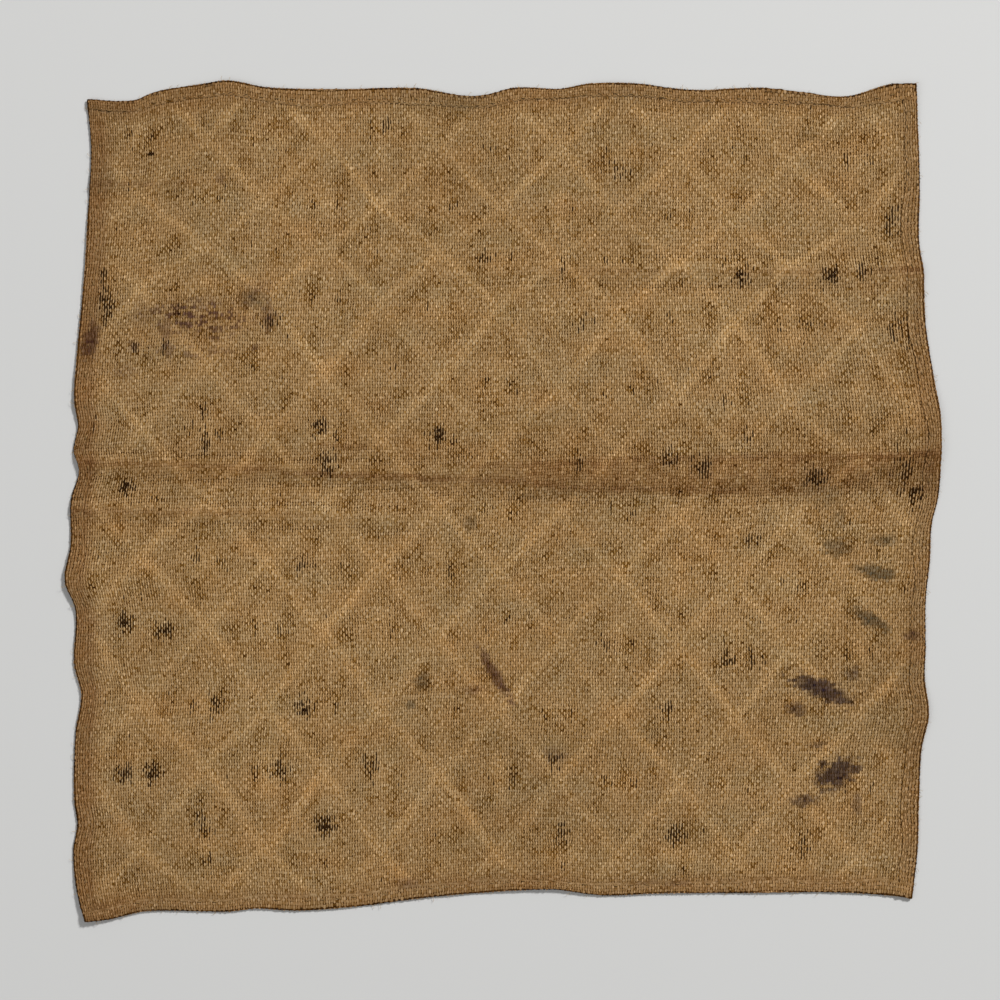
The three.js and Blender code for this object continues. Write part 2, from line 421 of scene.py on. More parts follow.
# Motifs inside each diamond, by how far a place is from its middle.
diamond = np.floor(total) * 13 + np.floor(difference) * 7
ringChance, spotChance, turnChance, middleChance = perNumber(diamond, 0, 1, 4, 41)
offX, offY = (rising + falling) / 2, (rising - falling) / 2
fromMiddle = np.hypot(offX, offY)
nodes = hill(np.minimum(np.hypot(np.abs(offX) - 1, offY), np.hypot(offX, np.abs(offY) - 1)), 0.17)
ring = hill((np.abs(offX) + np.abs(offY) + fromMiddle) / 2 - 0.55, 0.17) * (0.3 + ringChance)
upright = turnChance < 0.6
spotAlong, spotAcross = np.where(upright, offY, offX), np.where(upright, offX, offY)
spots = hill(spotAcross, 0.11) * hill(np.abs(spotAlong) - 0.22, 0.12) * spotChance
spots += hill(fromMiddle, 0.16) * np.clip(2.4 * middleChance - 1.4, 0, 1)
pairAlong, pairAcross = np.where(y < -198, (offY, offX), (offX, offY))
eyes = hill(np.abs(pairAlong) - 0.21, 0.09) * hill(pairAcross, 0.12) * (0.3 + 0.7 * middleChance)

patchy = np.clip(0.85 + 0.35 * wander(x, y, 50, 33), 0.1, 1.5)
share = lattice["tone"]
latticeTone = (share["line"] * lines + share["node"] * nodes) * patchy + share["field"]
latticeTone += (share["spot"] * spots + share["ring"] * ring) * (0.7 + 0.3 * patchy)
latticeTone *= inside
share = lattice["ribs"]
ribs = share["field"] + share["ring"] * ring + share["eye"] * eyes + share["line"] * lines
ribs = np.clip(ribs + share["drift"] * wander(x, y, 22, 34), 0, 1) * inside

# Tufts: where dark pile stitches show between the threads.
tufts = {
    "x": (266, -42, -243, -244, -219, 211, 128, -119, 152, -245, -227, -116, 201, 112, -129, 106, -193, -193,
          263, -114, 194, 145, 161, 31, 161, -227, -144, -86, 230, 105, -14, 38, -130, 37, -196, 157, 252, 76,
          51, -186, 67, 1, 49, -79, -258, -257, -238, -219, 249, 253, 257, -150),
    "y": (5, 43, 9, -78, -83, 146, 22, 48, 145, -175, -175, -209, 15, -214, -133, 27, 38, 58,
          102, 24, -223, -102, -102, -167, -25, 224, -173, -169, 149, -134, 157, 150, -40, -212, -205, 43,
          187, 213, 117, -130, -91, -78, 25, 242, 145, 129, 100, 100, 178, 112, 20, 116),
    "wide": (3.5, 2.3, 2.3, 3, 3.5, 3.5, 3.5, 2.8, 3, 3, 4, 4, 4.5, 4, 3, 4, 2, 2,
             2.8, 3.5, 2, 3, 3, 3.5, 3, 1.6, 4, 3.5, 3, 4, 4, 1.5, 3.5, 3, 3, 2.2, 4, 4,
             3, 3, 3.5, 2, 3, 3, 1.5, 3, 1.5, 1.5, 4, 4, 4, 5),
    "tall": (4.5, 4, 3, 3.5, 2.8, 3.5, 3.5, 3.5, 3.3, 3.5, 4, 4.5, 3.5, 4, 4.5, 3.5, 4, 3,
             6, 5, 5, 3.3, 3.5, 3.5, 3.2, 1.6, 5, 4, 4, 4, 3, 3.5, 4, 5, 5, 4, 4, 4,
             4, 5, 4, 5, 4, 4, 2.5, 8, 2.5, 2.5, 7, 8, 10, 4),
    "strength": (1, 1, 0.95, 0.95, 0.9, 0.9, 0.9, 0.9, 0.85, 0.85, 0.8, 0.85, 0.85, 0.75, 0.7, 0.7, 0.7,
                 0.6, 0.7, 0.65, 0.65, 0.6, 0.55, 0.6, 0.6, 0.9, 0.6, 0.6, 0.6, 0.5, 0.5, 0.6, 0.5, 0.55,
                 0.5, 0.5, 0.5, 0.5, 0.45, 0.5, 0.45, 0.45, 0.45, 0.4, 0.8, 0.6, 0.6, 0.6, 0.45, 0.45, 0.55,
                 0.4),
}
pile = np.zeros_like(x)
for tuftX, tuftY, wide, tall, strength in rowsOf(tufts):
    distance = np.hypot((x - tuftX) / wide, (y - tuftY) / tall)
    pile = np.maximum(pile, strength * hill(distance, math.sqrt(3)))
pile *= np.clip(0.98 + 0.6 * wander(x, y, 5, 43), 0.25, 1.2)  # no tuft is an even oval
ribs = np.clip(ribs + 0.7 * pile, 0, 1)
alongGaps = random.uniform(0, 1, (warpTotal, weftTotal // 3 + 1)).repeat(3, axis=1)[:, :weftTotal]
chance = 0.6 * alongGaps + 0.4 * random.uniform(0, 1, x.shape)
shownPile = np.maximum(1.25 * pile**0.8 - 0.05, 0.012 + 0.05 * ribs + 0.6 * eyes)
isPile = (chance > 1.0 - shownPile) & (fromEdge > 9)

# Stains. Each is an oval: its middle, half width, half height, turn in degrees, strength, and how
# much of it is only specks.
stains = {
    "violet": [
        (-196, 119, 58, 18, 0, 0.95, 0.9), (-266, 103, 6, 13, -18, 1.0, 0.25), (-217, 112, 4, 9, 0, 0.9, 0.5),
        (-151, 119, 5, 11, 0, 0.9, 0.5), (-185, 119, 24, 2, 0, 0.8, 0.6), (-217, 124, 7, 4, 0, 0.7, 0.7),
        (-189, 129, 8, 6, 0, 0.7, 0.7), (-232, 120, 8, 7, 0, 0.7, 0.7), (-157, 137, 11, 6, 0, 0.7, 0.7),
        (-5, -112, 4, 22, 32, 0.95, 0.2), (-19, -121, 9, 4, 0, 0.7, 0.6), (34, -163, 8, 6, 0, 0.5, 0.5),
        (-62, -246, 9, 4, 0, 0.6, 0.5), (-182, 208, 4, 4, 0, 0.5, 0.3), (264, -86, 6, 4, 0, 0.8, 0.3),
        (-205, 96, 60, 8, 0, 0.5, 0.95), (105, -246, 30, 4, 0, 0.35, 0.8), (-217, 99, 4, 5, 0, 0.8, 0.4),
        (-238, 100, 4, 4, 0, 0.7, 0.4), (-165, 131, 9, 7, 20, 0.7, 0.7), (-186, 108, 22, 7, 0, 0.7, 0.85),
        (-194, 125, 5, 3, 0, 0.7, 0.4), (-244, 84, 9, 6, 0, 0.45, 0.6), (-160, 99, 3, 3, 0, 0.7, 0.3),
    ],
    "smudge": [
        (-160, 130, 10, 7, 0, 0.6, 0.5), (-52, -116, 6, 7, 0, 0.8, 0.4), (-59, -131, 4, 4, 0, 0.7, 0.3),
        (-21, -14, 5, 6, 0, 0.6, 0.3), (216, -30, 10, 7, 0, 0.9, 0.4), (246, -25, 12, 4, 0, 0.7, 0.5),
        (241, -46, 15, 5, -14, 0.95, 0.3), (237, -76, 15, 5, -26, 0.95, 0.3), (198, 236, 11, 5, 0, 0.4, 0.4),
        (217, -10, 6, 8, 0, 0.5, 0.5), (205, 3, 14, 9, 0, 0.35, 0.5), (30, 4, 26, 5, 0, 0.3, 0.4),
    ],
    "ink": [
        (206, -121, 22, 6.5, -24, 1.0, 0.15), (189, -134, 7, 5, 0, 0.9, 0.35), (226, -111, 6, 5, 0, 0.8, 0.4),
        (215, -176, 15, 10, 24, 1.0, 0.15), (194, -193, 10, 4.5, 8, 0.85, 0.3),
        (228, -195, 4, 8, 0, 0.75, 0.4), (203, -157, 5, 3, 0, 0.6, 0.3),
    ],
}
runs = random.standard_normal((warpTotal // 4 + 1, weftTotal)).repeat(4, axis=0)[:warpTotal]
specks = 0.5 * wander(x, y * 1.3, 8, 51) + 0.3 * random.standard_normal(x.shape) + 0.35 * runs


def stained(ovals, ragged):
    total = np.zeros_like(x)
    for middleX, middleY, wide, tall, turned, strength, specked in ovals:
        cos, sin = math.cos(math.radians(turned)), math.sin(math.radians(turned))
        along = (x - middleX) * cos + (y - middleY) * sin
        across = (y - middleY) * cos - (x - middleX) * sin
        distance = np.hypot(along / wide, across / tall) + ragged * specks
        shown = 1 - specked * (1 - soft(specks - distance * 0.45, -0.05, 0.3))
        total = np.maximum(total, strength * shown * (1 - soft(distance, 0.55, 1.15)))
    return total


violet, smudge = stained(stains["violet"], 0.3), stained(stains["smudge"], 0.3)
# the ink took unevenly along the threads
ink = stained(stains["ink"], 0.35) * np.minimum(1.2 - 0.4 * chance, 1)

# Lines along the old creases, darker and in two places lighter, and a darker band between two of them:
# partly browning of the folds and partly painted shade and painted highlight where the folds stand up.
creases = {
    "long": {
        "x": (-285, -195, -131, -66, -2, 37, 88, 166, 215, 285),
        "y": (25, 23, 18.5, 16, 13, 9, 7.5, 6, 6, 6),
        "dark": (0.7, 0.55, 0.9, 1, 0.9, 0.8, 0.75, 0.6, 0.1, 0),
    },
    "above": {
        "x": (-40, -20, 28, 88, 153, 256, 285),
        "y": (24, 24, 25, 28, 29, 30, 34),
        "dark": (0, 0.3, 0.4, 0.45, 0.6, 0.8, 0.7),
    },
    "lower": {"x": (-285, -200, -120, -90, -80), "y": (-6, -7, -9, -10, -10), "dark": (0.6, 0.5, 0.35, 0, 0)},
    "upper": {
        "x": (-20, 0, 60, 130, 220, 250, 285),
        "y": (149, 149, 149, 148, 148, 149, 149),
        "dark": (0, 0.1, 0.4, 0.45, 0.5, 1, 1),
    },
    "top": {"x": (-285, -220, -190, -180), "y": (205, 205, 206, 206), "dark": (0.9, 0.6, 0, 0)},
    "short": {"x": (-122, -115, -84, -76), "y": (36, 36, 35, 35), "dark": (0, 0.6, 0.6, 0)},
    "light": {"x": (90, 106, 200, 215), "y": (63, 63.5, 63.5, 63), "dark": (0, -0.35, -0.35, 0)},
}
plumbLines = {"x": (-103.8, -110), "low": (140, 19), "high": (233, 58), "dark": (0.35, -0.4)}
creaseTone = np.zeros_like(x)
for crease in creases.values():
    distance = y - curve(crease, "x", "y", x) + 0.6 * wander(x, y, 24, 52)
    creaseTone += np.clip(curve(crease, "x", "dark", x), -1, 1) * hill(distance, 2.1)
for plumbX, low, high, dark in rowsOf(plumbLines):
    along = soft(y, low - 4, low + 8) * (1 - soft(y, high - 8, high + 4))
    creaseTone += dark * along * hill(x - plumbX + 0.5 * wander(x, y, 40, 60), 1.1)
bandLow, bandHigh = (curve(creases[name], "x", "y", x) for name in ("long", "above"))
bandTone = soft(y, bandLow - 2, bandLow + 3) * (1 - soft(y, bandHigh - 3, bandHigh + 3)) * soft(x, -40, 20)
foldTone = (0.75 * creaseTone + 0.42 * bandTone) * (0.85 + 0.5 * specks)
foldTone = np.clip(foldTone + 0.2 * hill(y - 24, 22), -0.3, 1)
# painted shade in a broken line along the hem's raw edge, where the turned hem steps down to the cloth
hemLine = hill(fromFold - 8.4 + 0.8 * wander(x, y, 40, 53), 1.1) * wander(x, y, 60, 54)
# the hems darker, fully along the left one, and darker still at the folded edge
sideShare = 0.58 + 0.42 * soft(-placeX, -45, -10)
hemTone = (1 - soft(fromFold, 5, 19)) * sideShare + 0.2 * hill(fromFold, 1.7)
hemTone = np.clip((hemTone + 0.25 * np.clip(hemLine, 0, 1)) * (1 + 0.25 * specks), 0, 1.2)

# Broad drifts of tone, lighter above nought, and how warm the cloth is.
patches = {
    "x": (140, 24, -265, 250, -115, 255, 150, -235, -10, -235),
    "y": (150, -195, 150, -125, -90, 90, -50, 225, 215, -230),
    "wide": (45, 75, 40, 45, 75, 40, 55, 50, 35, 45),
    "tall": (60, 60, 120, 50, 100, 90, 50, 40, 45, 40),
    "tone": (0.7, -1.2, -0.6, -1.9, 1.1, -1.4, 1.1, -1.3, -0.9, -1.3),
}
pale = 0.35 * wander(x, y, 110, 55) + 0.25 * wander(x, y, 9, 58) + 0.15 * wander(x, y, 5, 59)
for patchX, patchY, wide, tall, tone in rowsOf(patches):
    pale += tone * hill(x - patchX, wide) * hill(y - patchY, tall)
warmth = 0.35 * wander(x, y, 22, 56) + 0.25 * wander(x, y, 80, 57) + 0.15 * foldTone

# Which thread is on top at a crossing, how far it stands up, and how wide it is there. Where the
# cloth is ribbed the warps stand higher, and narrower at the turned edges.
warpOver = np.where((np.add.outer(np.arange(warpTotal), np.arange(weftTotal))) % 2 == 0, 1.0, -1.0)
crownSide = np.where(upward[..., 2] > 0.6, 1.0, -1.0)
warpLift = warpOver * (0.95 + 0.2 * ribs) + crownSide * (0.08 + 0.35 * ribs) + 0.13 * uneven(x.shape)
weftLift = -warpOver * (1 - 0.45 * ribs) - crownSide * (0.03 + 0.25 * ribs) + 0.16 * uneven(x.shape)
warpWide = (0.86 - 0.24 * ribs - 0.2 * pile**2) * (1 + 0.03 * random.standard_normal((warpTotal, 1)))
weftWide = (1.0 - 0.06 * ribs) * (1 + 0.03 * random.standard_normal((1, weftTotal)))
warpWide = (warpWide + 0.09 * uneven(x.shape)) * (1 - 0.5 * hill(fromSides, 0.7))
weftWide = (weftWide + 0.09 * uneven(x.shape)) * (1 - 0.5 * hill(fromEnds, 0.7))
warpSway, weftSway = 0.06 * uneven(x.shape), 0.09 * uneven(x.shape)
marks = {
    "latticeTone": latticeTone, "foldTone": foldTone, "hemTone": hemTone, "violet": violet, "smudge": smudge,
    "ink": ink, "pale": pale, "warmth": warmth, "pileNear": pile, "fleck": uneven(x.shape),
}


def plainObject(name, mesh):
    thing = bpy.data.objects.new(name, mesh)
    scene.collection.objects.link(thing)
    return thing


def setColumn(mesh, name, kind, values):
    column = mesh.attributes.new(name, kind, "POINT")
    field = "vector" if kind == "FLOAT_VECTOR" else "value"
    column.data.foreach_set(field, np.ravel(values).astype(np.float32))


draftMesh = bpy.data.meshes.new("draft")
draftMesh.vertices.add(warpTotal * weftTotal)
draftMesh.vertices.foreach_set("co", np.ravel(points * mm).astype(np.float32))
directions = {"acrossWarps": acrossWarps * mm, "acrossWefts": acrossWefts * mm, "upward": upward}
for name, values in directions.items():
    setColumn(draftMesh, name, "FLOAT_VECTOR", values)
columns = marks | {
    "warpLift": warpLift, "weftLift": weftLift, "warpWide": warpWide, "weftWide": weftWide,
    "warpSway": warpSway, "weftSway": weftSway, "crownSide": crownSide, "inCorner": inCorner,
    "isPile": isPile,
}
for name, values in columns.items():
    setColumn(draftMesh, name, "FLOAT", values)
draft = plainObject("draft", draftMesh)
print("draft marked:", int(isPile.sum()), "dark stitches")


def geometryBoard(name, inputs):
    tree = bpy.data.node_groups.new(name, "GeometryNodeTree")
    for label, kind in inputs.items():
        tree.interface.new_socket(label, in_out="INPUT", socket_type="NodeSocket" + kind)
    tree.interface.new_socket("Geometry", in_out="OUTPUT", socket_type="NodeSocketGeometry")
    board = Board(tree)
    given = tree.nodes.new("NodeGroupInput")
    return board, {label: Wire(board, given.outputs[label]) for label in inputs}


def closeBoard(board, geometry, material):
    # every tree ends in the same two nodes
    realized = board.add("GeometryNodeRealizeInstances", {0: geometry})
    dressed = board.add("GeometryNodeSetMaterial", {"Geometry": realized, "Material": material})
    board.tree.links.new(dressed.socket, board.tree.nodes.new("NodeGroupOutput").inputs[0])
    return board.tree


def grown(name, tree, values):
    # runs a tree once and keeps what it makes as a plain mesh
    holder = plainObject(name + "Holder", bpy.data.meshes.new(name + "Seed"))
    modifier = holder.modifiers.new("grow", "NODES")
    modifier.node_group = tree
    for item in tree.interface.items_tree:
        if item.in_out == "INPUT" and item.name in values:
            modifier[item.identifier] = values[item.name]
    graph = bpy.context.evaluated_depsgraph_get()
    evaluated = holder.evaluated_get(graph)
    mesh = bpy.data.meshes.new_from_object(evaluated, preserve_all_data_layers=True, depsgraph=graph)
    mesh.name = name
    bpy.data.objects.remove(holder)
    return plainObject(name, mesh)


def threadTree(direction, across):
    # strips of two faces across, one for each thread, laid over the crossings of the draft
    board, given = geometryBoard(direction + "Threads", {
        "Draft": "Object", "Threads": "Int", "First Thread": "Int", "Crossings": "Int", "Thread Step": "Int",
        "Crossing Step": "Int", "Wave": "Float", "Crown": "Float", "Seed": "Int", "Material": "Material",
    })
    draftShape = board.add("GeometryNodeObjectInfo", {"Object": given["Draft"]}, "Geometry")
    ends = given["Crossings"] - 1.0
    strip = board.add("GeometryNodeMeshGrid", {
        "Size X": 2.0, "Size Y": ends, "Vertices X": 3, "Vertices Y": given["Crossings"],
    })
    starts = board.add("GeometryNodeMeshLine", {"Count": given["Threads"], "Offset": (0.0, 0.0, 1.0)})
    strips = board.add("GeometryNodeInstanceOnPoints", {"Points": starts, "Instance": strip})
    strips = board.add("GeometryNodeRealizeInstances", {0: strips})

    # a strip's x, y and z are its side, the crossing and the thread, until it is laid
    place = board.add("GeometryNodeInputPosition")
    split = [board.add("ShaderNodeSeparateXYZ", {0: place}, axis) for axis in range(3)]
    side, crossing, thread = split[0], (split[1] + ends / 2).whole(), split[2].whole()
    number = (thread + given["First Thread"]) * given["Thread Step"] + crossing * given["Crossing Step"]
    number = board.add("FunctionNodeFloatToInt", {0: number.whole()})

    def sampled(value, kind):
        inputs = {"Geometry": draftShape, "Value": value, "Index": number}
        return board.add("GeometryNodeSampleIndex", inputs, data_type=kind, domain="POINT")

    def fromDraft(name, kind="FLOAT"):
        return sampled(board.named(name, kind), kind)

    def store(geometry, name, value, kind="FLOAT", domain="POINT"):
        inputs = {"Geometry": geometry, "Name": name, "Value": value}
        return board.add("GeometryNodeStoreNamedAttribute", inputs, data_type=kind, domain=domain)

    prefix = direction.lower()
    lift = fromDraft(prefix + "Lift")
    tint = board.chance("FLOAT", {"ID": thread + given["First Thread"], "Seed": given["Seed"]})
    corner = fromDraft("inCorner").over(0.5)
    downward = fromDraft("crownSide").maths("LESS_THAN", 0.0)
    kept = {"side": side, "height": abs(lift), "tint": tint, "thread": thread, "crossing": crossing}
    passing = {"corner": corner, "downward": downward}
    for name, value in (kept | {name: fromDraft(name) for name in marks} | passing).items():
        strips = store(strips, name, value)
    spread = (side * 0.42 + 0.5 + thread) / given["Threads"]
    stretch = (crossing + 0.5) / given["Crossings"]
    flatPlace = board.joined(spread, stretch) if direction == "Warp" else board.joined(stretch, spread)
    strips = store(strips, "OFBake", flatPlace, "FLOAT2", "CORNER")

    sideways = side * fromDraft(prefix + "Wide") * 0.5 + fromDraft(prefix + "Sway")
    raised = lift * given["Wave"] + (1 - side * side) * fromDraft("crownSide") * given["Crown"]
    shifted = board.vector(
        "ADD",
        board.scaled(fromDraft(across, "FLOAT_VECTOR"), sideways),
        board.scaled(fromDraft("upward", "FLOAT_VECTOR"), raised),
    )
    crossingPlace = sampled(board.add("GeometryNodeInputPosition"), "FLOAT_VECTOR")
    laid = board.add("GeometryNodeSetPosition", {
        "Geometry": strips, "Position": board.vector("ADD", crossingPlace, shifted),
    })
    inputs = {"Geometry": laid, "Selection": board.named("corner").over(0.5)}
    laid = board.add("GeometryNodeDeleteGeometry", inputs, domain="POINT")
    turned = board.named("downward").over(0.5)
    turned = 1.0 - turned if direction == "Weft" else turned
    laid = board.add("GeometryNodeFlipFaces", {"Mesh": laid, "Selection": turned})
    laid = board.add("GeometryNodeSetShadeSmooth", {"Geometry": laid, "Shade Smooth": True})
    for name in passing:
        laid = board.add("GeometryNodeRemoveAttribute", {"Geometry": laid, "Name": name})
    return closeBoard(board, laid, given["Material"])


raffia = {
    "straw": (0.70, 0.50, 0.284),
    "tan": (0.30, 0.138, 0.013),
    "nearTufts": (0.66, 0.49, 0.28),
    # the next two are painted shade: the colour of a thread's shaded sides, and the brown of its deepest and
    # outermost places
    "paintedFlankShade": (0.230, 0.103, 0.014),
    "brown": (0.050, 0.017, 0.001),
    "lightness": {"warp": 0.99, "weft": 0.76},
    "sideShade": {"warp": 1.0, "weft": 0.26},  # how much darker a thread's sides are painted: painted shade
    "dive": {"warp": (-0.4, 0.7), "weft": (0.15, 1.0)},  # the heights where a thread is painted darkest and lightest: painted shade where it dives
    "tones": {"latticeTone": 0.15, "pale": 0.07, "fleck": 0.08},  # how much each mark lightens
    "warming": (0.05, -0.02, -0.1),  # what warmth adds to red, green and blue
    "stains": {  # what each mark leaves of the cloth's colour; foldTone and hemTone are partly painted shade
        "foldTone": (0.60, 0.50, 0.43),
        "hemTone": (0.64, 0.556, 0.494),
        "violet": (0.24, 0.17, 0.24),
        "smudge": (0.20, 0.25, 0.32),
        "ink": (0.045, 0.033, 0.14),
    },
    "roughness": 0.68,
    "gloss": 0.06,
}


def materialBoard(name, gloss):
    material = bpy.data.materials.new(name)
    material.use_nodes = True
    shader = material.node_tree.nodes["Principled BSDF"]
    shader.inputs["Specular IOR Level"].default_value = gloss
    return material, Board(material.node_tree), shader


def feed(shader, wires):
    for name, wire in wires.items():
        wire.board.tree.links.new(wire.socket, shader.inputs[name])


def relief(board, height, strength, depth):
    return board.add("ShaderNodeBump", {"Strength": strength, "Distance": depth * mm, "Height": height})


def raffiaMaterial(kind):
    material, board, shader = materialBoard("raffia" + kind.title(), raffia["gloss"])

    def mark(name):
        return board.add("ShaderNodeAttribute", None, "Fac", attribute_type="GEOMETRY", attribute_name=name)

    side, tint, thread, crossing = mark("side"), mark("tint"), mark("thread"), mark("crossing")
    streakPlace = board.joined(thread * 3.7 + side * 1.4, crossing * 0.7, tint * 9.0)
    inputs = {"Vector": streakPlace, "Scale": 1.0, "Detail": 3.0, "Roughness": 0.6}
    streak = board.add("ShaderNodeTexNoise", inputs)
    patchPlace = board.joined(thread * 0.9, crossing * 0.9, tint * 3.0)
    patch = board.add("ShaderNodeTexNoise", {"Vector": patchPlace, "Scale": 0.8, "Detail": 2.0})

    # painted shade: from the brown of the deepest and outermost places, by the shaded flanks, to the fibre on
    # top; the creases darken the sides more
    sideShade = raffia["sideShade"][kind] + 0.4 * mark("foldTone")
    edge = 1 - sideShade * board.span(abs(side), 0.3, 1.0)
    tone = board.span(mark("height"), *raffia["dive"][kind]) * edge
    strawShare = streak * 0.35 + (tint - 0.5) * 0.06 + mark("fleck") * 0.05 + 0.3
    fibre = board.mix(board.span(strawShare, 0.2, 0.8), raffia["tan"], raffia["straw"])
    fibre = board.mix(mark("pileNear") * 0.3, fibre, raffia["nearTufts"])
    paintedFlankShade = board.mix(board.span(tone, 0.0, 0.55), raffia["brown"], raffia["paintedFlankShade"])
    colour = board.mix(board.span(tone, 0.36, 1.0), paintedFlankShade, fibre)

    shade = 1.0 + (patch - 0.5) * 0.2 + (tint - 0.5) * 0.03
    for name, share in raffia["tones"].items():
        shade = shade + share * mark(name)
    warmth = mark("warmth")
    hue = board.joined(*(1 + warmth * share for share in raffia["warming"]))
    colour = board.scaled(board.vector("MULTIPLY", colour, hue), shade * raffia["lightness"][kind])
    for name, left in raffia["stains"].items():
        colour = board.mix(mark(name), colour, left, "MULTIPLY")
    roughness = raffia["roughness"] + 0.25 * (1 - tone) + (streak - 0.5) * 0.15
    feed(shader, {"Base Color": colour, "Roughness": roughness, "Normal": relief(board, streak, 0.25, 0.1)})
    return material


threadSets = {
    "Warp": {
        "across": "acrossWarps", "threads": warpTotal, "crossings": weftTotal, "threadStep": weftTotal,
        "crossingStep": 1, "seed": 61, "halves": ("Left", "Right"),
    },
    "Weft": {
        "across": "acrossWefts", "threads": weftTotal, "crossings": warpTotal, "threadStep": 1,
        "crossingStep": weftTotal, "seed": 62, "halves": ("Lower", "Upper"),
    },
}
threadPieces = []
for direction, threads in threadSets.items():
    tree = threadTree(direction, threads["across"])
    material = raffiaMaterial(direction.lower())
    half = threads["threads"] // 2
    for label, first, count in zip(threads["halves"], (0, half), (half, threads["threads"] - half)):
        piece = grown(direction.lower() + "Threads" + label, tree, {
            "Draft": draft, "Threads": count, "First Thread": first, "Crossings": threads["crossings"],
            "Thread Step": threads["threadStep"], "Crossing Step": threads["crossingStep"],
            "Wave": weave["wave"] * mm, "Crown": weave["crown"] * mm, "Seed": threads["seed"],
            "Material": material,
        })
        threadPieces.append(piece)
        print(piece.name, len(piece.data.polygons), "faces")

# The ground between the threads: a thin dark sheet in the middle of the cloth that shows where the threads
# stand apart. It is partly the backs of the pile stitches and partly painted shade in the gaps.
ground = {
    "cell": 4.0,
    "hemCell": 0.45,
    "sideHem": 7.6,
    "endHem": 7.2,
    "hemRun": 3.0,  # how far in from the fold the small cells go
    "thickness": 0.16,
    # the sheet's two colours: backs of the pile stitches, and painted shade in the gaps
    "dark": (0.030, 0.011, 0.001),
    "brown": (0.095, 0.038, 0.005),
}


def groundPlaces(size, hemWide):
    turned = np.arange(-hemWide, ground["hemRun"], ground["hemCell"])
    inner = np.linspace(ground["hemRun"], size - ground["hemRun"], int(size / ground["cell"]))
    return np.concatenate([turned, inner, size - turned[::-1]])


def groundSheet():
    groundX = groundPlaces(clothWide, ground["sideHem"])
    groundY = groundPlaces(clothTall, ground["endHem"])
    sheetX, sheetY = np.meshgrid(groundX, groundY, indexing="ij")
    sheetPoints, sheetCorner = layCloth(*turnedByHand(sheetX, sheetY))
    number = np.arange(sheetX.size).reshape(sheetX.shape)
    rounds = [number[:-1, :-1], number[1:, :-1], number[1:, 1:], number[:-1, 1:]]
    cells = np.stack(rounds, axis=-1).reshape(-1, 4)
    cells = cells[~np.ravel(sheetCorner)[cells].any(axis=1)]
    used, cells = np.unique(cells, return_inverse=True)
    mesh = bpy.data.meshes.new("pileGround")
    mesh.from_pydata(sheetPoints.reshape(-1, 3)[used] * mm, [], cells.reshape(-1, 4).tolist())
    return mesh


def groundMaterial():
    material, board, shader = materialBoard("pileGround", 0.05)
    place = board.add("ShaderNodeTexCoord", None, "Object")
    inputs = {"Vector": place, "Scale": 45.0, "Detail": 4.0, "Roughness": 0.65}
    patch = board.add("ShaderNodeTexNoise", inputs)
    fine = board.add("ShaderNodeTexNoise", {"Vector": place, "Scale": 700.0, "Detail": 2.0})
    colour = board.mix(board.span(patch * 0.6 + fine * 0.4, 0.42, 0.6), ground["dark"], ground["brown"])
    feed(shader, {"Base Color": colour, "Normal": relief(board, fine, 0.5, 0.2)})
    shader.inputs["Roughness"].default_value = 0.85
    return material


sheetHolder = plainObject("pileGroundHolder", groundSheet())
solidify = sheetHolder.modifiers.new("thickness", "SOLIDIFY")
solidify.thickness = ground["thickness"] * mm
solidify.offset = 0.0
graph = bpy.context.evaluated_depsgraph_get()
sheetMesh = bpy.data.meshes.new_from_object(sheetHolder.evaluated_get(graph), depsgraph=graph)
bpy.data.objects.remove(sheetHolder)
pileGround = plainObject("pileGround", sheetMesh)
pileGround.data.materials.append(groundMaterial())
print("ground laid:", len(pileGround.data.polygons), "faces")

# Dark pile stitches that show between the threads.
stitch = {
    "width": 1.0,
    "length": 2.6,
    "depth": 0.5,
    "rise": 0.29,
    "seed": 71,
    "colour": (0.014, 0.0045, 0.0007),
    "lighter": (0.05, 0.022, 0.005),
}


def stitchTree():
    board, given = geometryBoard("pileStitches", {
        "Draft": "Object", "Width": "Float", "Length": "Float", "Depth": "Float", "Rise": "Float",
        "Seed": "Int", "Material": "Material",
    })
    draftShape = board.add("GeometryNodeObjectInfo", {"Object": given["Draft"]}, "Geometry")
    inputs = {"Mesh": draftShape, "Selection": board.named("isPile").over(0.5)}
    places = board.add("GeometryNodeMeshToPoints", inputs)
    near = board.named("pileNear")
    lift = board.joined(z=given["Rise"] * (near * near + 1.0))
    sideways = board.scaled(board.named("acrossWarps", "FLOAT_VECTOR"), 0.5)
    inputs = {"Geometry": places, "Offset": board.vector("ADD", sideways, lift)}
    places = board.add("GeometryNodeSetPosition", inputs)
    bead = board.add("GeometryNodeMeshUVSphere", {"Radius": 0.5, "Segments": 6, "Rings": 4})
    size = board.joined(given["Width"] * (near * near * 0.9 + 0.8), given["Length"], given["Depth"])
    spread = board.chance("FLOAT", {2: 0.65, 3: 1.35, "Seed": given["Seed"]})
    turn = board.chance("FLOAT_VECTOR", {0: (0, 0, -0.22), 1: (0, 0, 0.22), "Seed": given["Seed"]})
    beads = board.add("GeometryNodeInstanceOnPoints", {
        "Points": places, "Instance": bead, "Scale": board.scaled(size, spread), "Rotation": turn,
    })
    beads = board.add("GeometryNodeSetShadeSmooth", {"Geometry": beads, "Shade Smooth": True})
    return closeBoard(board, beads, given["Material"])


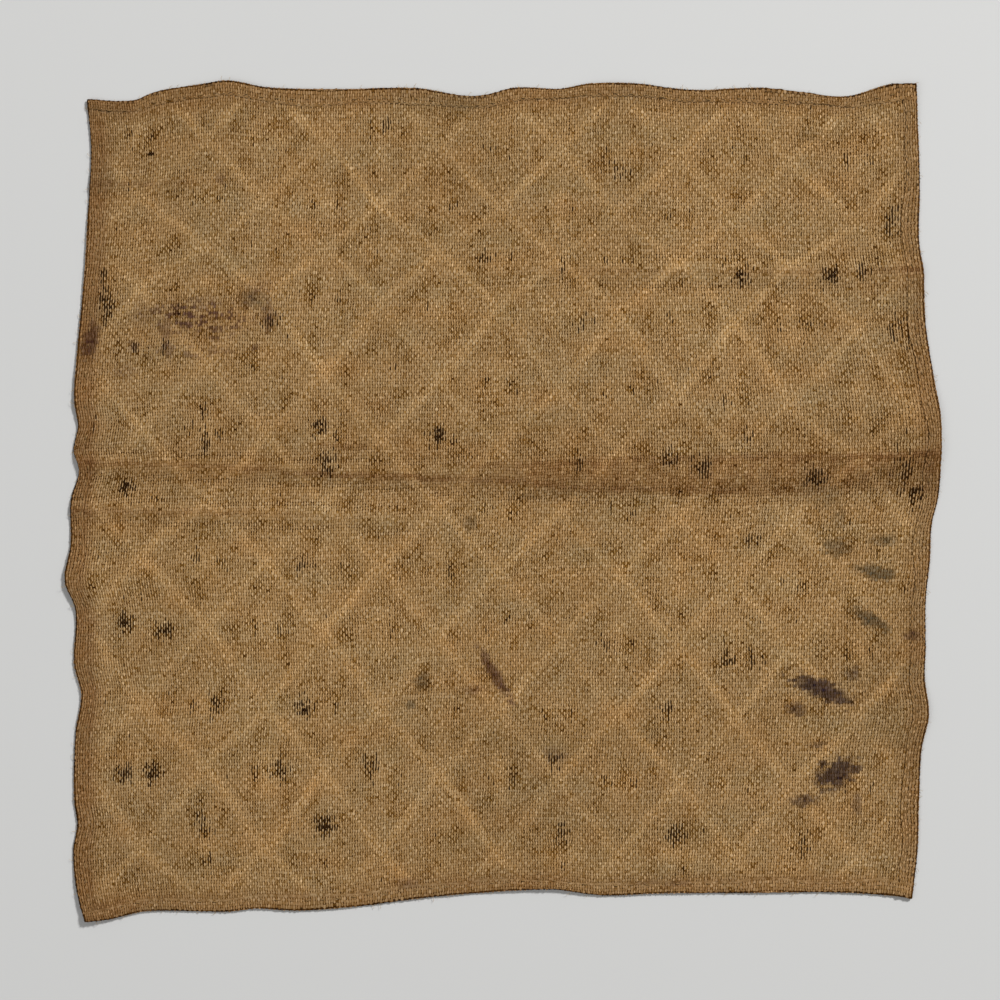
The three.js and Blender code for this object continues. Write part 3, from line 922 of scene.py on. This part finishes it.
def strandMaterial(name, look):
    material, board, shader = materialBoard(name, 0.04)
    place = board.add("ShaderNodeTexCoord", None, "Object")
    stretched = board.vector("MULTIPLY", place, (1.0, 0.25, 1.0))
    strand = board.add("ShaderNodeTexNoise", {"Vector": stretched, "Scale": 1500.0, "Detail": 2.0})
    colour = board.mix(board.span(strand, 0.35, 0.75), look["colour"], look["lighter"])
    feed(shader, {"Base Color": colour, "Normal": relief(board, strand, 0.4, 0.1)})
    shader.inputs["Roughness"].default_value = 0.8
    return material


pileStitches = grown("pileStitches", stitchTree(), {
    "Draft": draft, "Width": stitch["width"] * mm, "Length": stitch["length"] * mm,
    "Depth": stitch["depth"] * mm, "Rise": stitch["rise"] * mm, "Seed": stitch["seed"],
    "Material": strandMaterial("dyedRaffia", stitch),
})
print("pile stitches:", len(pileStitches.data.polygons), "faces")

# Running stitches that hold the hem down, and fibres that have worked loose along the edges.
hemStitch = {
    "inFromEdge": 6.4,
    "rise": 2.0,
    "pitch": 10.0,
    "share": 1.0,
    "size": (2.8, 0.6, 0.6),
    "turn": ((0.0, 0.0, -0.12), (0.0, 0.0, 0.12)),
    "seed": 81,
    "colour": (0.25, 0.145, 0.055),
    "lighter": (0.34, 0.21, 0.085),
}
fibre = {
    "inFromEdge": 0.4,
    "rise": 1.1,
    "pitch": 5.0,
    "share": 0.35,
    "size": (3.0, 3.0, 3.0),
    "turn": ((0.0, -0.1, -2.6), (0.0, 0.15, -0.5)),
    "seed": 91,
    "colour": (0.40, 0.27, 0.12),
    "lighter": (0.62, 0.47, 0.27),
}


def edgePath(name, inFrom, rise):
    # a closed line round the cloth, at one distance in from its edge
    across = np.linspace(inFrom, clothWide - inFrom, 160)[:-1]
    up = np.linspace(inFrom, clothTall - inFrom, 150)[:-1]
    sides = [
        (across, np.full_like(across, inFrom)),
        (np.full_like(up, clothWide - inFrom), up),
        (clothWide - across, np.full_like(across, clothTall - inFrom)),
        (np.full_like(up, inFrom), clothTall - up),
    ]
    alongX, alongY = np.concatenate(sides, axis=1)
    x, y = placeOnCloth(alongX / clothWide, alongY / clothTall)
    line = np.stack([x, y, liftAt(x, y) + rise], axis=-1)
    mesh = bpy.data.meshes.new(name)
    mesh.from_pydata(line * mm, [(i, (i + 1) % len(line)) for i in range(len(line))], [])
    return plainObject(name, mesh)


def edgeTree(name, makeShape):
    # one shape again and again along a path, each turned a little and of its own size
    board, given = geometryBoard(name, {
        "Path": "Object", "Pitch": "Float", "Share": "Float", "Size": "Vector", "Turn From": "Vector",
        "Turn To": "Vector", "Seed": "Int", "Material": "Material",
    })
    path = board.add("GeometryNodeObjectInfo", {"Object": given["Path"]}, "Geometry")
    path = board.add("GeometryNodeMeshToCurve", {"Mesh": path})
    path = board.add("GeometryNodeResampleCurve", {"Curve": path, "Length": given["Pitch"]}, mode="LENGTH")
    inputs = {"Vector": board.add("GeometryNodeInputTangent")}
    facing = board.add("FunctionNodeAlignRotationToVector", inputs, axis="X", pivot_axis="Z")
    inputs = {"Geometry": path, "Name": "facing", "Value": facing}
    path = board.add("GeometryNodeStoreNamedAttribute", inputs, data_type="QUATERNION", domain="POINT")
    points = board.add("GeometryNodeCurveToPoints", {"Curve": path}, mode="EVALUATED")
    kept = board.chance("BOOLEAN", {"Probability": given["Share"], "Seed": given["Seed"]})
    spread = board.chance("FLOAT", {2: 0.6, 3: 1.35, "Seed": given["Seed"]})
    turn = board.chance("FLOAT_VECTOR", {0: given["Turn From"], 1: given["Turn To"], "Seed": given["Seed"]})
    turn = board.add("FunctionNodeEulerToRotation", {0: turn})
    inputs = {0: board.named("facing", "QUATERNION"), 1: turn}
    facing = board.add("FunctionNodeRotateRotation", inputs, rotation_space="LOCAL")
    shapes = board.add("GeometryNodeInstanceOnPoints", {
        "Points": points, "Selection": kept, "Instance": makeShape(board), "Rotation": facing,
        "Scale": board.scaled(given["Size"], spread),
    })
    shapes = board.add("GeometryNodeSetShadeSmooth", {"Geometry": shapes, "Shade Smooth": True})
    return closeBoard(board, shapes, given["Material"])


def stitchShape(board):
    return board.add("GeometryNodeMeshUVSphere", {"Radius": 0.5, "Segments": 8, "Rings": 5})


def fibreShape(board):
    bend = {"Resolution": 5, "Start": (0.0, 0.0, 0.0), "Middle": (0.6, 0.3, 0.1), "End": (1.0, 0.0, 0.0)}
    middle = board.add("GeometryNodeCurveQuadraticBezier", bend)
    outline = board.add("GeometryNodeCurvePrimitiveCircle", {"Resolution": 3, "Radius": 0.5})
    thin = board.add("GeometryNodeTransform", {"Geometry": outline, "Scale": (0.06, 0.06, 0.06)})
    return board.add("GeometryNodeCurveToMesh", {"Curve": middle, "Profile Curve": thin, "Fill Caps": True})


def alongEdge(name, values, makeShape, material):
    path = edgePath(name + "Path", values["inFromEdge"], values["rise"])
    piece = grown(name, edgeTree(name, makeShape), {
        "Path": path, "Pitch": values["pitch"] * mm, "Share": values["share"],
        "Size": tuple(size * mm for size in values["size"]), "Turn From": values["turn"][0],
        "Turn To": values["turn"][1], "Seed": values["seed"], "Material": strandMaterial(material, values),
    })
    bpy.data.objects.remove(path)
    return piece


hemStitches = alongEdge("hemStitches", hemStitch, stitchShape, "hemThread")
looseFibres = alongEdge("looseFibres", fibre, fibreShape, "looseFibre")
bpy.data.objects.remove(draft)
for piece in (hemStitches, looseFibres):
    print(piece.name, len(piece.data.polygons), "faces")

# What each piece is to the frame.
others = [*threadPieces, pileStitches, hemStitches, looseFibres]
for piece in (pileGround, *others):
    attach(piece, "root")
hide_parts("cloth_panel")

# Floor, light and camera. The camera looks straight down, from where photoWide fills the picture.
studio = {
    "floor": 30.0,
    "photoWide": 0.645,
    "lens": 85.0,
    "aim": (-0.0019, 0.0010),
    "keyLight": {"place": (3.3, 3.6, 3.9), "size": 0.95, "power": 400},
    "fillLight": {"place": (-2.4, -1.4, 3.0), "size": 2.5, "power": 32},
    "sky": 0.25,
}
bpy.ops.mesh.primitive_plane_add(size=studio["floor"])
floor = bpy.context.object
floor.name = "floor"
floorMaterial, _, floorShader = materialBoard("floor", 0.5)
floorShader.inputs["Base Color"].default_value = (0.62, 0.62, 0.61, 1.0)
floorShader.inputs["Roughness"].default_value = 0.9
floor.data.materials.append(floorMaterial)

for name in ("keyLight", "fillLight"):
    lamp = bpy.data.lights.new(name, "AREA")
    lamp.size = studio[name]["size"]
    lamp.energy = studio[name]["power"]
    light = bpy.data.objects.new(name, lamp)
    light.location = studio[name]["place"]
    light.rotation_euler = (-light.location).to_track_quat("-Z", "Y").to_euler()
    scene.collection.objects.link(light)

world = bpy.data.worlds.new("studio")
world.use_nodes = True
sky = world.node_tree.nodes["Background"]
sky.inputs["Color"].default_value = (1.0, 1.0, 1.0, 1.0)
sky.inputs["Strength"].default_value = studio["sky"]
scene.world = world

camera = bpy.data.cameras.new("camera")
camera.lens = studio["lens"]
cameraObject = bpy.data.objects.new("camera", camera)
cameraObject.location = (*studio["aim"], studio["photoWide"] * camera.lens / camera.sensor_width)
scene.collection.objects.link(cameraObject)
scene.camera = cameraObject
print("studio ready")
